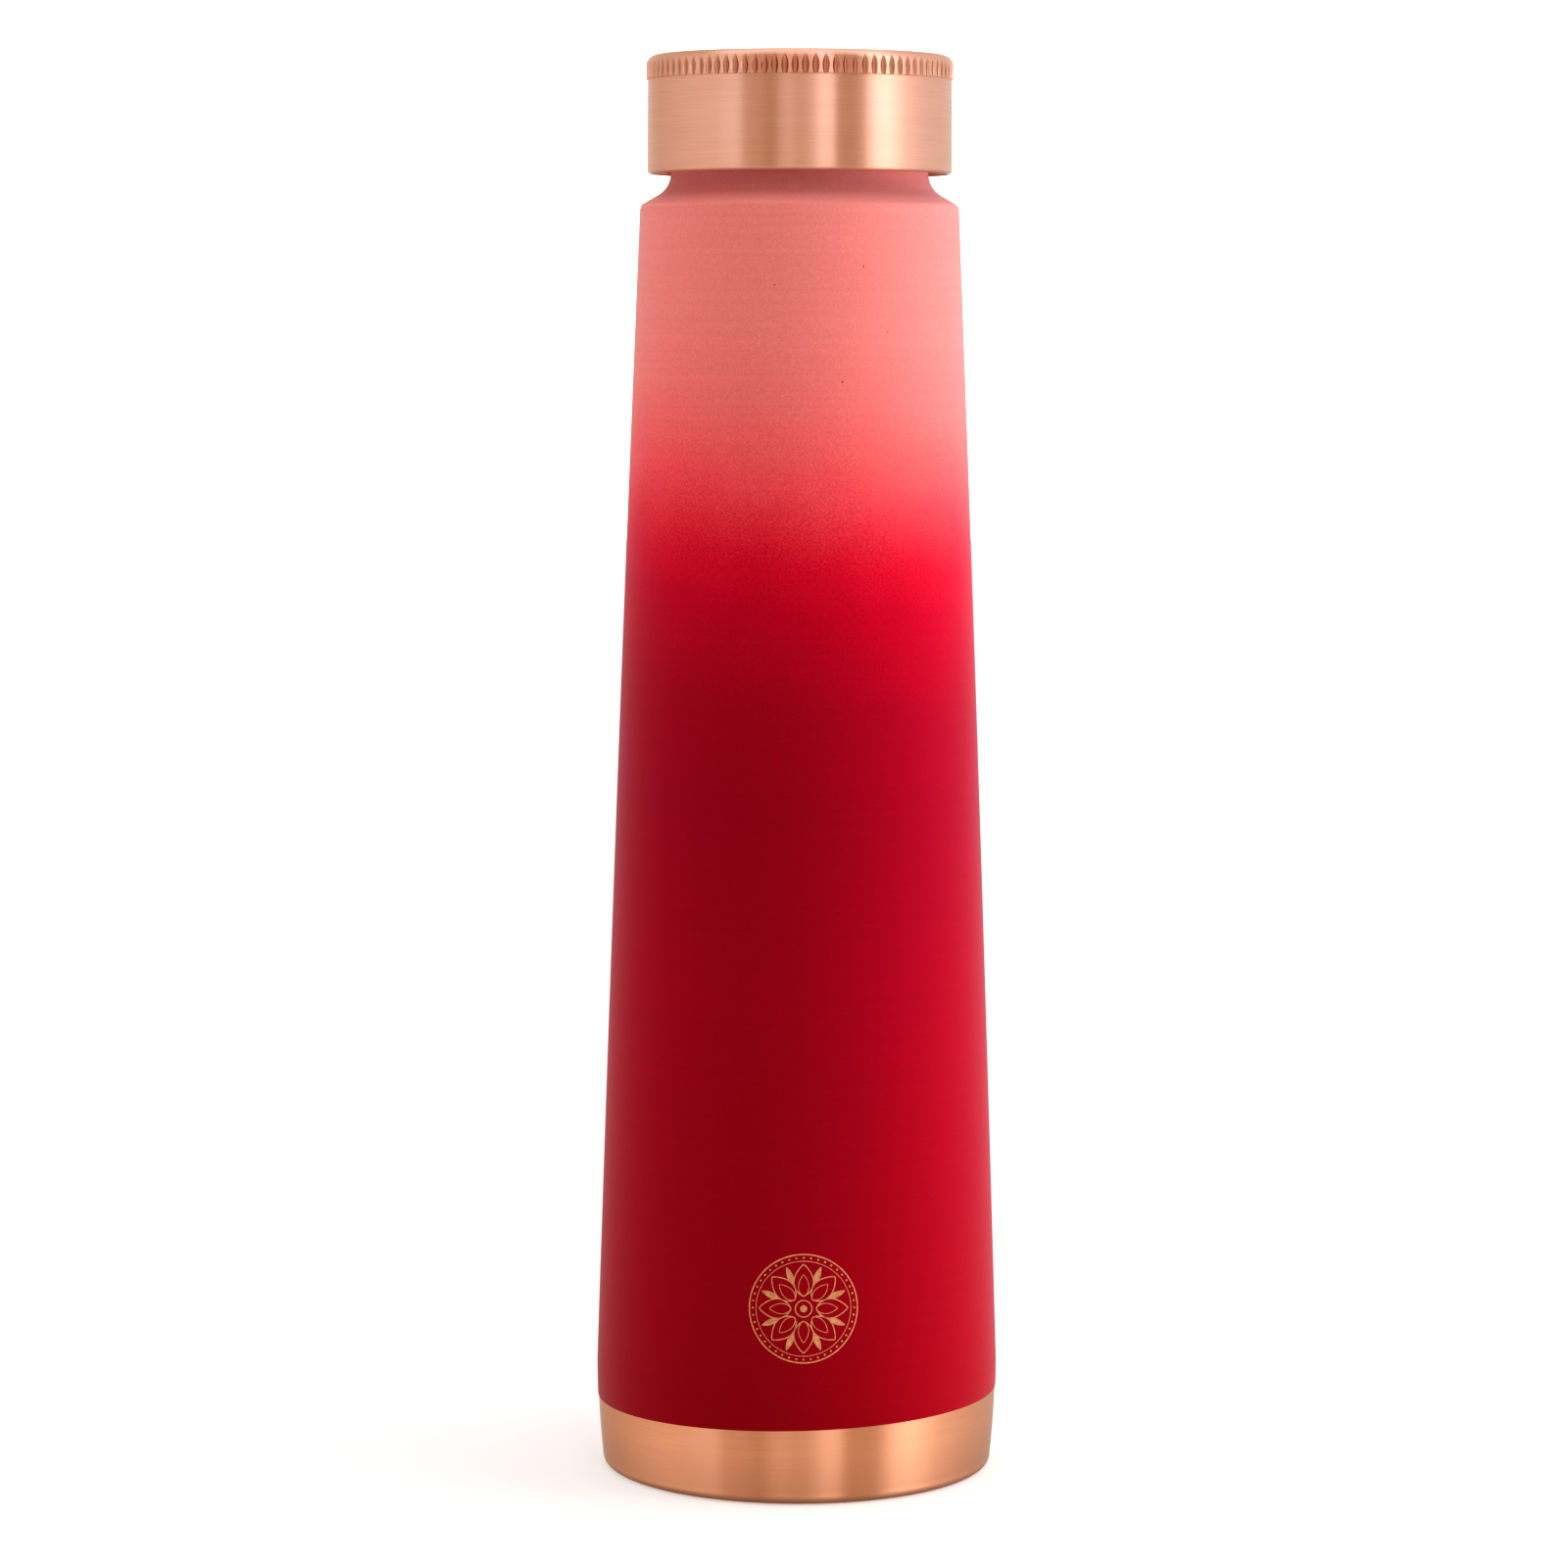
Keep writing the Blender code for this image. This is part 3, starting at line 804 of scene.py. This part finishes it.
def make_seal():
    """The silicone washer, with rounded edges and a low rib that presses on the lip."""
    top, bottom, outer = SEAL_HIGH.z, SEAL_LOW.z, SEAL_HIGH.x
    edge = 0.0003
    rib = 0.00018
    rib_radius = NECK_RADIUS + LIP_CURL
    floor = bottom + rib
    path = joined(
        arc((outer - edge, top - edge), edge, 90, 0, 5),
        arc((outer - edge, floor + edge), edge, 0, -90, 5),
        arc((rib_radius, floor), rib, 0, -180, 8),
        arc((SEAL_BORE + edge, floor + edge), edge, 270, 180, 5),
        arc((SEAL_BORE + edge, top - edge), edge, 180, 90, 5),
    )
    mesh = turned("seal_washer", path)
    new_piece("seal_washer", mesh, rubber, "seal", "seal_silicone", "cap_seal")


make_coat()
make_wall()
make_shoulder()
make_base()
make_emblem()
make_neck_thread()
make_cap_shell()
make_cap_thread()
make_liner()
make_seal()


# The camera, the light and the floor


CAMERA_PLACE = (-0.0030, -0.9552, 0.2286)
CAMERA_LENS = 111.2
LOOK_DOWN = radians(5.53)
CAMERA_ROLL = radians(0.13)


def add_camera():
    """In front of the bottle, level with its upper half and looking a little down."""
    camera = bpy.data.objects.new("camera", bpy.data.cameras.new("camera"))
    camera.data.sensor_width = 36
    camera.data.lens = CAMERA_LENS
    camera.location = CAMERA_PLACE
    camera.rotation_mode = "XYZ"
    camera.rotation_euler = (pi / 2 - LOOK_DOWN, -CAMERA_ROLL, 0)
    bpy.context.scene.collection.objects.link(camera)
    bpy.context.scene.camera = camera


# The tent's brightness round the bottle, as (degrees to the right of the camera's side, brightness)
TENT_STOPS = (
    (-180, 0.48),
    (-134, 0.46),
    (-100, 0.50),
    (-64, 0.53),
    (-60, 0.57),
    (-47, 0.57),
    (-43, 0.37),
    (-30, 0.36),
    (-24, 0.29),
    (-19, 0.30),
    (-15, 0.45),
    (-8, 0.50),
    (-2, 0.42),
    (5, 0.44),
    (11, 0.54),
    (16, 0.78),
    (24, 0.80),
    (27, 0.58),
    (29, 0.34),
    (42, 0.33),
    (48, 0.36),
    (52, 0.55),
    (59, 0.98),
    (69, 1.15),
    (78, 0.98),
    (90, 0.70),
    (110, 0.58),
    (150, 0.52),
    (180, 0.48),
)
GAP_BRIGHTNESS = (0.30, 0.56)  # between these the tent's colour goes from the dark gaps' tint to white
GAP_TINT = (1.0, 0.80, 0.55)
ROOF_BRIGHTNESS = 0.8
ROOF_START, ROOF_FULL = sin(radians(50)), sin(radians(60))
SKIRT_START, SKIRT_FULL = sin(radians(-16)), sin(radians(-50))  # below the floor's edge the tent darkens
SKIRT_SHARE = 0.4
HORIZON_START, HORIZON_FULL = sin(radians(-4)), sin(radians(-17))  # the pale ground evens out the gaps
GROUND_SHARE = 0.74
GROUND_COLOUR = (0.77, 0.735, 0.70)
GROUND_BACK_SHARE = 0.35  # the ground behind the bottle is darker
GROUND_SHADED = (-0.9, 0.1)  # it darkens between these shares of the way to the camera's side


def tent_colour(brightness):
    """White where the tent is bright, and warmer the darker it is."""
    low, high = GAP_BRIGHTNESS
    white = min(max((brightness - low) / (high - low), 0), 1)
    return tuple(brightness * (tint + (1 - tint) * white) for tint in GAP_TINT)


def add_tent():
    """A soft white tent round the bottle, with darker gaps between its cloths, and plain white behind."""
    world = bpy.data.worlds.new("tent")
    bpy.context.scene.world = world
    n = Nodes(world)
    n.tree.nodes.clear()
    direction = n.add("ShaderNodeTexCoord").outputs["Generated"]
    axes = n.add("ShaderNodeSeparateXYZ", {"Vector": direction}).outputs
    height = axes["Z"]
    towards = n.maths("MULTIPLY", axes["Y"], -1.0)
    azimuth = n.spread(n.maths("ARCTAN2", axes["X"], towards), -pi, pi, 0, 1)
    stops = [((degree + 180) / 360, tent_colour(brightness)) for degree, brightness in TENT_STOPS]
    shaded = n.spread(towards, *GROUND_SHADED, GROUND_BACK_SHARE, 1)
    ground = n.add("ShaderNodeVectorMath", {0: GROUND_COLOUR, "Scale": shaded}, operation="SCALE")
    below = n.spread(height, HORIZON_START, HORIZON_FULL, 0, GROUND_SHARE)
    colour = n.blend(below, n.ramp(azimuth, stops), ground.outputs["Vector"])
    skirt = n.spread(height, SKIRT_START, SKIRT_FULL, 1, SKIRT_SHARE)
    cloth = n.add("ShaderNodeBackground", {"Color": colour, "Strength": skirt})
    roof = n.add("ShaderNodeBackground", {"Color": (1, 1, 1, 1), "Strength": ROOF_BRIGHTNESS})
    roofed = n.spread(height, ROOF_START, ROOF_FULL, 0, 1)
    tent = n.add("ShaderNodeMixShader", {0: roofed, 1: cloth.outputs[0], 2: roof.outputs[0]})
    backdrop = n.add("ShaderNodeBackground", {"Color": (1, 1, 1, 1), "Strength": 1.0})
    seen = n.add("ShaderNodeLightPath").outputs["Is Camera Ray"]
    whole = n.add("ShaderNodeMixShader", {0: seen, 1: tent.outputs[0], 2: backdrop.outputs[0]})
    n.add("ShaderNodeOutputWorld", {"Surface": whole.outputs[0]})


SOFTBOX_HEIGHT = 0.07
SOFTBOX_SIZE = (0.3, 0.12)
SOFTBOXES = (  # name, place to the side and behind the axis, and power in watts
    ("right_softbox", 0.32, -0.02, 0.46),
    ("left_softbox", -0.32, 0.08, 0.16),
)


def add_softbox(name, x, y, watts):
    """A large soft lamp that lights the paint and leaves no reflection of its own in the copper."""
    lamp = bpy.data.lights.new(name, "AREA")
    lamp.shape = "RECTANGLE"
    lamp.size, lamp.size_y = SOFTBOX_SIZE
    lamp.energy = watts
    softbox = bpy.data.objects.new(name, lamp)
    softbox.location = (x, y, SOFTBOX_HEIGHT)
    softbox.rotation_euler = Vector((-x, -y, 0)).to_track_quat("-Z", "Y").to_euler()
    softbox.visible_glossy = False
    softbox.visible_camera = False
    bpy.context.scene.collection.objects.link(softbox)


FLOOR_RADIUS = 4.0
FLOOR_DROP = 0.0001  # keeps the floor's face off the foot's


def add_floor():
    """A plain pale floor under the bottle's foot."""
    cage = bmesh.new()
    bmesh.ops.create_circle(cage, cap_ends=True, segments=96, radius=FLOOR_RADIUS)
    mesh = bpy.data.meshes.new("floor")
    cage.to_mesh(mesh)
    cage.free()
    floor = bpy.data.objects.new("floor", mesh)
    floor.location.z = -FLOOR_DROP
    n = Finish("floor_card")
    n.set(
        Base_Color=(0.55, 0.55, 0.55, 1),
        Roughness=0.9,
        Specular_IOR_Level=0.1,
        Emission_Color=(1.0, 1.0, 1.0, 1),
        Emission_Strength=0.28,
    )
    mesh.materials.append(n.material)
    # The copper mirrors the tent alone, which goes on below the floor's edge.
    floor.visible_glossy = False
    floor.visible_diffuse = False
    bpy.context.scene.collection.objects.link(floor)


add_camera()
add_tent()
for softbox in SOFTBOXES:
    add_softbox(*softbox)
add_floor()
bpy.context.scene.view_settings.view_transform = "Standard"
bpy.context.scene.view_settings.look = "Very High Contrast"
